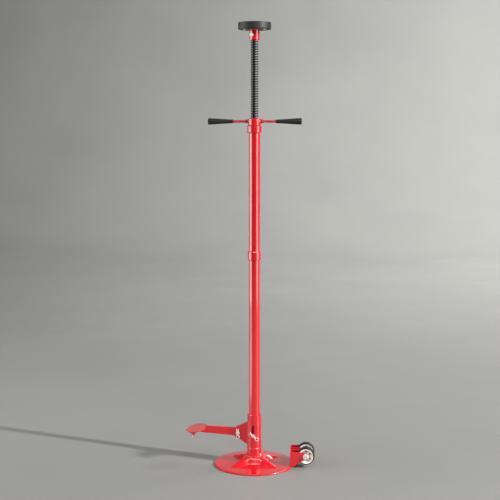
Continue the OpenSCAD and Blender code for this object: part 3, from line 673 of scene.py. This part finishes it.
def threaded(crest, depth, pitch, low, high, steps, stops, keyway=None):
    """A rod with a right-hand thread, its ends turned down, and a keyway down its -Y side if one is given."""
    root = crest - depth
    if keyway:
        half, floor_y = keyway
        wall = math.asin(half / crest)
        clear = math.asin(half / root) + KEYWAY_CLEAR
        columns = [(wall, half, None)]
        columns += [(clear + (TAU - 2 * clear) * i / (steps - 1), None, None) for i in range(steps)]
        columns.append((TAU - wall, -half, None))
        columns.append((TAU - wall * KEYWAY_FLOOR_SHARE, -half, floor_y))
        columns.append((TAU, 0.0, floor_y))
        columns.append((TAU + wall * KEYWAY_FLOOR_SHARE, half, floor_y))
    else:
        columns = [(TAU * i / steps, None, None) for i in range(steps)]
    per_turn = len(stops)
    rows = per_turn * (math.ceil((high - low) / pitch) + 2 * SPARE_TURNS)
    points = []
    for phase, fixed_x, fixed_y in columns:
        for m in range(rows):
            turn, stop = divmod(m, per_turn)
            share, height = stops[stop]
            z = low + pitch * (turn - SPARE_TURNS + share + phase / TAU)
            radius = root + depth * height
            if z <= low or z >= high:
                z = min(max(z, low), high)
                radius = root
            radius = min(radius, root + (z - low), root + (high - z))
            if fixed_y is not None:
                points.append((fixed_x, fixed_y, z))
            elif fixed_x is not None:
                points.append((fixed_x, -math.sqrt(radius**2 - fixed_x**2), z))
            else:
                points.append((radius * math.sin(phase), -radius * math.cos(phase), z))
    faces = []
    count = len(columns)
    for c in range(count):
        shift = per_turn if c == count - 1 else 0
        a, b = c * rows, (c + 1) % count * rows + shift
        for m in range(rows - 1 - shift):
            faces.append([a + m, b + m, b + m + 1, a + m + 1])
    for m, height in ((0, low), (rows - 1, high)):
        points.append((0, 0, height))
        for c in range(count):
            faces.append([c * rows + m, (c + 1) % count * rows + m, len(points) - 1])
    return points, faces


# Fine pieces: base


def ease(t):
    """Smooth step from 0 to 1."""
    t = min(max(t, 0.0), 1.0)
    return t * t * (3 - 2 * t)


def rib_width(reach):
    """Half width of a rib at a distance from the column: widest a little out, and a point at its end."""
    t = (reach - SEAT_R) / (RIB_REACH - SEAT_R)
    if t < WIDEST_SHARE:
        return RIB_HALF_W * (ROOT_W_SHARE + (1 - ROOT_W_SHARE) * t / WIDEST_SHARE)
    return RIB_HALF_W * max(0.0, (1 - t) / (1 - WIDEST_SHARE))


def rib_rise(radius, turn):
    """Share of a rib's full height at a point of the plate."""
    best = 0.0
    for crest in (RIB_ANGLE, math.pi - RIB_ANGLE, math.pi + RIB_ANGLE, TAU - RIB_ANGLE):
        along, aside = polar(radius, turn - crest)
        if along > 0 and rib_width(along) > 0:
            best = max(best, ease((1 - abs(aside) / rib_width(along)) / (1 - CROWN_SHARE)))
    return best


def pressing(radius, turn):
    """Height of the pressed plate's top above its flat rim."""
    fall = max(0.0, 1 - (radius - SEAT_R) / (RIB_REACH - SEAT_R))
    low = max(FAN_H * fall, DOME_H * ease(1 - (radius - SEAT_R) / SHOULDER_W))
    return low + (max(low, DOME_H * fall) - low) * rib_rise(radius, turn)


def make_base():
    """The pressed plate with its hole, ribs and rolled edge, and the welds on the base."""
    steps, rings = 288, 52
    flat_r = PLATE_R - EDGE_R
    hole_r = SLEEVE_R + HOLE_GAP
    neck_z = PLATE_RISE + DOME_H
    radii = [SEAT_R + (RIB_REACH - SEAT_R) * i / rings for i in range(rings + 1)] + [flat_r]

    def row(radius, drop):
        turns = [TAU * i / steps for i in range(steps)]
        return [(*polar(radius, a), PLATE_RISE + pressing(radius, a) - drop) for a in turns]

    rows = [ring(hole_r, neck_z, steps)] + [row(r, 0) for r in radii]
    for angle in range(75, -1, -15):
        out, up = polar(EDGE_R, math.radians(angle))
        rows.append(ring(flat_r + out, PLATE_RISE - EDGE_R + up, steps))
    rows += [ring(PLATE_R, FOOT_CHAMFER_H, steps), ring(PLATE_R - FOOT_CHAMFER_W, 0, steps)]
    rows += [ring(PLATE_R - PLATE_T, 0, steps), row(flat_r - PLATE_T / 2, PLATE_T)]
    rows += [row(r, PLATE_T) for r in radii[-2::-1]]
    rows.append(ring(hole_r, neck_z - PLATE_T, steps))
    turned = Matrix.Rotation(BASE_TURN, 4, "Z")
    piece("pressed_base", [(*strip(rows, loop=True), turned)], "base", "red_paint", ["base_plate"], sharp=40)

    low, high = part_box("neck_collar")
    piece("weld_neck_foot", [round_weld(NECK_FOOT_WELD, low.z + NECK_WELD_RISE)], "base", "red_paint")
    piece("weld_neck_top", [round_weld(NECK_TOP_WELD, high.z)], "base", "red_paint")
    seams = []
    for side in (-1, 1):
        for ends in FORK_SEAMS:
            start, end = (Vector((x, side * y, z)) * MM for x, y, z in ends)
            seams.append(straight_weld(start, end, FORK_BEAD_R, turned))
    piece("welds_forks", seams, "base", "red_paint")
    low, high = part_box("pedal_bracket")
    seams = []
    for side in (-1, 1):
        x, y = BRACKET_WELD_X, side * BRACKET_WELD_Y
        start, end = (x, y, low.z + BRACKET_WELD_INSET), (x, y, high.z - BRACKET_WELD_INSET)
        seams.append(straight_weld(start, end, BRACKET_BEAD_R))
    piece("welds_bracket", seams, "base", "red_paint")


def clip_path(pin_d, reach):
    """Half above and half below the clip's own line: open tips, pinch, hump round the pin, pinch, loop."""
    hump = pin_d / 2 - CLIP_GROOVE + CLIP_WIRE / 2 + CLIP_GAP
    pinch = CLIP_WIRE / 2 + PINCH_GAP
    leg = [(-CLIP_TAIL, CLIP_SPLAY * pinch), (-hump - CLIP_WIRE / 2, pinch)]
    leg += [polar(hump, math.radians(a)) for a in range(140, 30, -20)]
    leg += [((reach - CLIP_LOOP_R + hump) / 2, pinch)]
    leg += [(reach + x, y) for x, y in (polar(CLIP_LOOP_R, math.radians(a)) for a in range(150, 0, -25))]
    knots = [Vector((x, y, 0)) for x, y in leg + [(reach + CLIP_LOOP_R, 0)] + [(x, -y) for x, y in leg[::-1]]]
    path = []
    for i in range(len(knots) - 1):
        a, b, c, d = knots[max(i - 1, 0)], knots[i], knots[i + 1], knots[min(i + 2, len(knots) - 1)]
        for t in (0, 0.2, 0.4, 0.6, 0.8):
            square = (2 * a - 5 * b + 4 * c - d) * t**2
            cube = (3 * b - a - 3 * c + d) * t**3
            path.append(0.5 * (2 * b + (c - a) * t + square + cube))
    return path + [knots[-1]]


def make_clip(name, node, pin, sizes, body):
    """A bent wire clip round a pin; sizes are the pin's diameter, the clip's reach and its turn."""
    pin_d, reach, turn = sizes
    centre = middle(pin)
    centre.y = middle(node).y
    place = axes(centre, (0, -1, 0), (math.cos(turn), 0, -math.sin(turn)))
    path = clip_path(pin_d, reach)
    rod = sweep(path, [CLIP_WIRE / 2] * len(path))
    piece(name, [(*rod, place)], body, "zinc", [node], sharp=60)


def make_axle():
    """The axle bolt with its hexagonal head, shank and thread, and its collared lock nut."""
    place = axes((middle("front_hub") + middle("rear_hub")) / 2, AXLE_LINE, (0, 0, 1))
    radius = AXLE_D / 2
    seat = AXLE_SEAT
    face = -seat - WASHER_FACE_H
    start, end = -seat - SHANK_IN_HEAD, seat - SHANK_SHORT
    shapes = (
        hexagon(AXLE_FLATS, -seat - AXLE_HEAD_H, face, True, False),
        lathe([(0, face), (AXLE_FACE_R, face), (AXLE_FACE_R, -seat), (0, -seat)], 64),
        lathe([(0, start), (radius, start), (radius, end), (0, end)], 64),
        threaded(*AXLE_THREAD, seat - THREAD_INSIDE, seat + THREAD_OUTSIDE, 40, FINE_THREAD),
    )
    piece("axle_bolt_cut", [(*shape, place) for shape in shapes], "base", "zinc", ["axle_bolt"])
    top = seat + AXLE_NUT_H
    bore = radius + NUT_BORE_GAP
    foot = top - COLLAR_H
    collar = [(bore, foot), (COLLAR_FOOT_R, foot), (COLLAR_TOP_R, top), (COLLAR_LIP_R, top)]
    collar = rounded(collar + [(bore, top - COLLAR_DISH)], COLLAR_ROUND)
    shapes = (
        hexagon(AXLE_FLATS, seat, top - NUT_HEX_SHORT, True, True),
        lathe(collar, 64, loop=True),
    )
    piece("axle_nut_cut", [(*shape, place) for shape in shapes], "base", "zinc", ["axle_nut"])


# Fine pieces: pedal


def make_pedal():
    """The stop screw's thread and tip under the foot plate, and the welds of boss and arm."""
    up = Vector((-math.sin(PEDAL_PITCH), 0, math.cos(PEDAL_PITCH)))
    along = Vector((math.cos(PEDAL_PITCH), 0, math.sin(PEDAL_PITCH)))
    foot = axes(PEDAL_MID + along * STOP_X - up * PEDAL_T, up, along)
    screw = threaded(*STOP_THREAD, -STOP_L + STOP_THREAD_START, 0, 36, FINE_THREAD)
    tip = lathe([(radius * MM, -STOP_L + height * MM) for radius, height in STOP_TIP], 48)
    piece("stop_screw_cut", [(*screw, foot), (*tip, foot)], "pedal", "zinc", ["stop_screw"])
    seams = [round_weld(BOSS_WELD, -BOSS_WELD_DROP, foot)]
    plate = axes(PEDAL_MID - up * PEDAL_T, up, along)
    for side in (-1, 1):
        start, end = ((x, side * y, z) for x, y, z in ARM_SEAM)
        seams.append(straight_weld(start, end, ARM_BEAD_R, plate))
    piece("welds_pedal", seams, "pedal", "red_paint")


# Fine pieces: spin handle, screw and saddle


def grip_radius(share):
    """Radius of a grip at a share of its length."""
    return (GRIP_THIN_MM + (GRIP_THICK_MM - GRIP_THIN_MM) * ease(share)) / 2 * MM


def make_handle():
    """Both rubber grips, and the welds round the nut's bosses."""
    centre_z = middle("handle_bars").z
    start, end, bore = GRIP_START, GRIP_END, GRIP_BORE_R
    for name, node, side in (("left_grip_sleeve", "left_grip", -1), ("right_grip_sleeve", "right_grip", 1)):
        shares = [i / GRIP_STEPS for i in range(GRIP_STEPS + 1)]
        profile = [(bore, start + GRIP_MOUTH_H), (bore + GRIP_MOUTH_W, start)]
        profile += [(grip_radius(t), start + (end - start) * t) for t in shares] + [(0, end)]
        profile = rounded(profile, GRIP_ROUND, 5) + [(0, end - GRIP_CAP_T), (bore, end - GRIP_CAP_T)]
        place = axes((0, 0, centre_z), (side, 0, 0), (0, 0, 1))
        piece(name, [(*lathe(profile, 72, loop=True), place)], "handle", "black_rubber", [node], sharp=50)
    seams = []
    weld_r, bead_r = BAR_WELD
    for side in (-1, 1):
        path = []
        for y, z, _ in ring(weld_r, 0, 84):
            path.append((side * math.sqrt((NUT_R + BAR_WELD_GAP) ** 2 - y * y), y, centre_z + z))
        seams.append((*bead(path, bead_r, loop=True), STILL))
    piece("welds_bosses", seams, "handle", "red_paint")


def make_screw():
    """The lift screw with its true helix and the keyway down its front."""
    low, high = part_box("lift_screw")
    crest = high.x
    keyway = (KEYWAY_W / 2, -crest + KEYWAY_DEPTH)
    rod = threaded(crest, SCREW_DEPTH, SCREW_PITCH, low.z, high.z, 64, SCREW_THREAD, keyway)
    piece("cut_screw", [(*rod, STILL)], "screw", "black_steel", ["lift_screw"], sharp=24)


def make_saddle():
    """The moulded pad, its three button head screws, the socket's set bolt and the socket's weld."""
    low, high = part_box("rubber_pad")
    plate_low, plate_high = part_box("saddle_plate")
    radius = (high.x - low.x) / 2
    inner = (plate_high.x - plate_low.x) / 2 + PAD_PLATE_GAP
    outer = [(inner, low.z), (radius - PAD_DRAFT_W, low.z), (radius, low.z + PAD_DRAFT_H), (radius, high.z)]
    outer = rounded(outer + [(0, high.z)], PAD_ROUND, 6)
    shape = lathe(outer + [(0, plate_high.z), (inner, plate_high.z)], 144, loop=True)
    piece("moulded_pad", [(*shape, STILL)], "screw", "black_rubber", ["rubber_pad"], sharp=50)

    top = -BUTTON_H
    button = [(0, top + DRIVE_MIDDLE_H), (DRIVE_R, top + DRIVE_SIDE_H), (DRIVE_R, top), (BUTTON_FLAT_R, top)]
    for angle in BUTTON_ARC:
        a = math.radians(angle)
        button.append((BUTTON_R * math.sin(a), top * math.cos(a) ** BUTTON_DOME_POWER))
    button += [(BUTTON_R, -BUTTON_EDGE_H), (BUTTON_R, 0)]
    button += [(PAD_SHANK_R, 0), (PAD_SHANK_R, PAD_SHANK_L), (0, PAD_SHANK_L)]
    screws = []
    for turn in PAD_SCREW_TURNS:
        x, y = polar(PAD_SCREW_CIRCLE_R, SADDLE_TURN + math.radians(turn))
        screws.append((*lathe(button, 48), Matrix.Translation((x, y, low.z))))
    piece("button_screws", screws, "screw", "zinc", ["pad_screws"])

    socket_low, socket_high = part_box("saddle_socket")
    out = Vector((*polar(1, SADDLE_TURN + BOLT_TURN), 0))
    place = axes(Vector((0, 0, (socket_low.z + socket_high.z) / 2)), out, (0, 0, 1))
    seat = SET_BOLT_SEAT
    face = seat + WASHER_FACE_H
    shapes = (
        hexagon(SET_BOLT_FLATS, face, seat + SET_BOLT_HEAD_H, False, True),
        lathe([(0, seat), (SET_BOLT_FACE_R, seat), (SET_BOLT_FACE_R, face), (0, face)], 48),
        threaded(*SET_BOLT_THREAD, SET_BOLT_TIP, seat + SET_BOLT_LAP, 32, FINE_THREAD),
    )
    piece("set_bolt_cut", [(*shape, place) for shape in shapes], "screw", "zinc", ["set_bolt"])
    piece("weld_socket", [round_weld(SOCKET_WELD, socket_high.z - SOCKET_WELD_DROP)], "screw", "red_paint")


# Fine pieces: wheels


def slotted_web(inner, outer, half):
    """A flat ring with rounded curved slots through it."""
    sector = 360 / SLOT_COUNT
    rows = []
    for i in range(SLOT_COUNT * SLOT_STEPS):
        turn = i / SLOT_STEPS * sector
        off = abs((turn + sector / 2) % sector - sector / 2)
        past = max(off - SLOT_FLAT_TURN, 0) / (SLOT_END_TURN - SLOT_FLAT_TURN)
        rows.append((math.radians(turn), SLOT_HALF * math.sqrt(max(1 - past * past, 0))))
    points = []
    for turn, gap in rows:
        for radius in (inner, SLOT_R - gap, SLOT_R + gap, outer):
            points += [(*polar(radius, turn), height) for height in (-half, half)]
    faces = []
    total = len(rows)
    for i in range(total):
        a, b = 8 * i, 8 * ((i + 1) % total)
        for low in (0, 4):
            faces.append([a + low, b + low, b + low + 2, a + low + 2])
            faces.append([a + low + 1, a + low + 3, b + low + 3, b + low + 1])
        faces.append([a, a + 1, b + 1, b])
        faces.append([a + 6, b + 6, b + 7, a + 7])
        if rows[i][1] > 0 or rows[(i + 1) % total][1] > 0:
            faces.append([a + 2, b + 2, b + 3, a + 3])
            faces.append([a + 4, a + 5, b + 5, b + 4])
    return points, faces


def wheel_place(node):
    """Placement at a wheel's middle with its Z along the axle."""
    return axes(middle(node), AXLE_LINE, (0, 0, 1))


def make_hub(name, node, body):
    """Moulded hub: a rim and a nave with soft edges, joined by a recessed web with six curved slots."""
    half, web, bore = HUB_HALF, WEB_HALF, HUB_BORE_R
    rim = [(RIM_INNER_R, -web), (RIM_LIP_R, -half), (HUB_R, -half)]
    rim += [(HUB_R, half), (RIM_LIP_R, half), (RIM_INNER_R, web)]
    nave = [(bore, -BORE_SEAM), (bore, -half), (NAVE_R, -half)]
    nave += [(NAVE_R, half), (bore, half), (bore, BORE_SEAM)]
    shapes = (
        lathe(rounded(rim, RIM_ROUND), 108, loop=True),
        lathe(rounded(nave, NAVE_ROUND), 72, loop=True),
        slotted_web(NAVE_R - WEB_IN_NAVE, RIM_INNER_R + WEB_IN_RIM, web),
    )
    place = wheel_place(node)
    piece(name, [(*shape, place) for shape in shapes], body, "pale_nylon", [node])


def make_tyre(name, node, body):
    """A tyre with a crowned tread on a hub."""
    low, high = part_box(node)
    outer = (high.z - low.z) / 2
    inner = outer - TYRE_T
    edge = math.radians(TREAD_ANGLE)
    profile = [(inner, -TYRE_HALF + TYRE_CHAMFER_H), (inner + TYRE_CHAMFER_W, -TYRE_HALF)]
    for i in range(TREAD_STEPS + 1):
        a = math.radians(-TREAD_ANGLE + 2 * TREAD_ANGLE * i / TREAD_STEPS)
        across = TYRE_HALF * TREAD_SHARE * math.sin(a) / math.sin(edge)
        profile.append((outer - TREAD_DROP * (1 - math.cos(a) ** TREAD_POWER), across))
    profile += [(inner + TYRE_CHAMFER_W, TYRE_HALF), (inner, TYRE_HALF - TYRE_CHAMFER_H)]
    shape = (*lathe(profile, 120, loop=True), wheel_place(node))
    piece(name, [shape], body, "black_tyre", [node], sharp=50)


# Edges of the frame's flat plates and of the boss under the foot plate


def soften(node, width):
    """Rounds a frame node's edges a little, by modifiers that leave its mesh alone."""
    thing = NODES[node]
    weld = thing.modifiers.new("join", "WELD")
    weld.merge_threshold = 1e-6
    bevel = thing.modifiers.new("edges", "BEVEL")
    bevel.width = width
    bevel.segments = EDGE_SEGMENTS
    bevel.limit_method = "ANGLE"
    bevel.angle_limit = EDGE_ANGLE
    bevel.harden_normals = True


make_base()
make_clip("cross_clip_wire", "cross_clip", "cross_pin", CROSS_CLIP, "pole")
make_clip("pivot_clip_wire", "pivot_clip", "pivot_pin", PIVOT_CLIP, "base")
make_axle()
make_pedal()
make_handle()
make_screw()
make_saddle()
make_hub("front_hub_moulded", "front_hub", "front_wheel")
make_hub("rear_hub_moulded", "rear_hub", "rear_wheel")
make_tyre("front_tread", "front_tyre", "front_wheel")
make_tyre("rear_tread", "rear_tyre", "rear_wheel")
for plate_node, edge_mm in SOFT_EDGES.items():
    soften(plate_node, edge_mm * MM)


# Stage, light and camera


def add_object(name, data):
    """Puts new data into the scene as an object."""
    thing = bpy.data.objects.new(name, data)
    bpy.context.scene.collection.objects.link(thing)
    return thing


def make_floor():
    """Plain floor that sweeps up into a plain wall behind the stand, square to the camera."""
    profile = [(FLOOR_FRONT, 0.0), (-FLOOR_FLAT, 0.0), (FLOOR_FLAT, 0.0)]
    for angle in range(0, 91, 5):
        a = math.radians(angle)
        profile.append((SWEEP_START + SWEEP_R * math.sin(a), SWEEP_R * (1 - math.cos(a))))
    profile.append((SWEEP_START + SWEEP_R, WALL_TOP))
    points = [(x, y, z) for y, z in profile for x in (-FLOOR_HALF_W, FLOOR_HALF_W)]
    faces = [(2 * i, 2 * i + 1, 2 * i + 3, 2 * i + 2) for i in range(len(profile) - 1)]
    mesh = bpy.data.meshes.new("floor")
    mesh.from_pydata(points, [], faces)
    mesh.transform(Matrix.Rotation(CAMERA_TURN, 4, "Z"))
    mesh.shade_smooth()
    floor = add_object("floor", mesh)
    mesh.materials.append(floor_paint())
    return floor


def gather(name, things):
    """A collection of the objects that a light reaches."""
    collection = bpy.data.collections.new(name)
    for thing in things:
        collection.objects.link(thing)
    return collection


def area_light(name, place, target, size, power, colour, spread=180, reaches=None, glossy=True):
    """A soft rectangular light that faces its target; it may reach only some objects, or give no gloss."""
    data = bpy.data.lights.new(name, "AREA")
    data.shape = "RECTANGLE"
    data.size, data.size_y = size
    data.energy = power
    data.color = colour
    data.spread = math.radians(spread)
    light = add_object(name, data)
    light.location = place
    light.rotation_euler = (Vector(target) - Vector(place)).to_track_quat("-Z", "Y").to_euler()
    if reaches:
        light.light_linking.receiver_collection = reaches
    light.visible_glossy = glossy


def make_lights(floor):
    """Softboxes whose reflections draw the stripes on the tubes, a key from the right, and weak fill.

    Each row gives a light's name, place, target, width and height in metres, and power in watts.
    """
    meshes = [thing for thing in bpy.context.scene.objects if thing.type == "MESH"]
    round_things = [thing for thing in meshes if thing.name not in PLATES]
    stand = gather("stand", [thing for thing in meshes if thing is not floor])
    plates = gather("plates", [thing for thing in meshes if thing.name in PLATES])
    room = gather("room", round_things)
    column = gather("column", [thing for thing in round_things if thing is not floor])
    for name, place, target, size, power, spread, reaches in (
        ("left_wall", (-2.87, -0.88, 1.48), (0, 0, 1.48), (3.0, 2.7), 112, 180, room),
        ("right_wall", (2.83, -0.98, 1.48), (0, 0, 1.48), (1.8, 2.7), 66, 180, room),
        ("low_left", (-0.75, -0.3, 0.3), (0, 0, 0.3), (0.6, 0.5), 1.15, 130, column),
    ):
        area_light(name, place, target, size, power, WARM, spread, reaches)
        area_light(name + "_plates", place, target, size, power, WARM, spread, plates, glossy=False)
    area_light("key_right", (7.4, -1.62, 4.6), (0, 0, 0.6), (0.16, 1.4), 1250, SUNNY)
    area_light("lamp_left", (-1.35, -1.9, 3.3), (0, 0, 0.2), (0.6, 0.6), 6, WHITE)
    area_light("lamp_right", (2.0, -1.3, 3.3), (0, 0, 0.2), (0.6, 0.6), 6, WHITE)
    area_light("ceiling", (0.0, 0.0, 7.0), (0, 0.001, 0), (13.0, 13.0), 20, WHITE)
    area_light("front_strip", (0.5, -2.4, 3.4), (0, 0, 0.3), (2.8, 0.35), 36, WHITE)
    area_light("low_front", (0.15, -1.5, 0.25), (0, 0, 0.12), (1.0, 0.35), 0.8, WARM, 50, stand, glossy=False)
    area_light("back_wash", (4.6, 5.2, 5.4), (-1.2, 8.4, 0.0), (5.0, 3.0), 960, PALE, 130)


def studio_world():
    """Grey surroundings: pale behind the stand and overhead, dark on the side that faces the camera."""
    world = bpy.data.worlds.new("studio")
    world.use_nodes = True
    nodes, links = world.node_tree.nodes, world.node_tree.links
    place = nodes.new("ShaderNodeTexCoord")

    def gradient(direction, *stops):
        """Grey levels along a direction, as (position from -1 to 1, level) stops."""
        along = nodes.new("ShaderNodeVectorMath")
        along.operation = "DOT_PRODUCT"
        along.inputs[1].default_value = direction
        links.new(place.outputs["Generated"], along.inputs[0])
        share = nodes.new("ShaderNodeMath")
        share.operation = "MULTIPLY_ADD"
        share.inputs[1].default_value = 0.5
        share.inputs[2].default_value = 0.5
        links.new(along.outputs["Value"], share.inputs[0])
        ramp = nodes.new("ShaderNodeValToRGB")
        elements = ramp.color_ramp.elements
        while len(elements) < len(stops):
            elements.new(0.5)
        for element, (position, level) in zip(elements, stops):
            element.position = position / 2 + 0.5
            element.color = (level, level * 0.995, level * 0.97, 1)
        links.new(share.outputs["Value"], ramp.inputs["Fac"])
        return ramp.outputs["Color"]

    height = gradient((0, 0, 1), (-0.2, 0.34), (0.0, 0.3), (0.2, 0.2), (0.8, 0.26))
    depth = gradient(CAMERA_AWAY, (-0.7, 0.22), (0.1, 0.35), (0.75, 0.9))
    both = nodes.new("ShaderNodeVectorMath")
    both.operation = "MULTIPLY"
    links.new(height, both.inputs[0])
    links.new(depth, both.inputs[1])
    links.new(both.outputs["Vector"], nodes["Background"].inputs["Color"])
    return world


def make_camera():
    """The photograph's camera."""
    data = bpy.data.cameras.new("camera")
    data.sensor_width = SENSOR_MM
    data.lens = FOCAL_PIXELS * SENSOR_MM / IMAGE_PIXELS
    camera = add_object("camera", data)
    aside, back = CAMERA_DISTANCE * math.sin(CAMERA_TURN), CAMERA_DISTANCE * math.cos(CAMERA_TURN)
    camera.location = (aside, -back, CAMERA_HEIGHT)
    camera.rotation_euler = (math.pi / 2 - CAMERA_TILT, 0, CAMERA_TURN + CAMERA_YAW)
    bpy.context.scene.camera = camera


make_lights(make_floor())
bpy.context.scene.world = studio_world()
bpy.context.scene.view_settings.view_transform = "Standard"
make_camera()
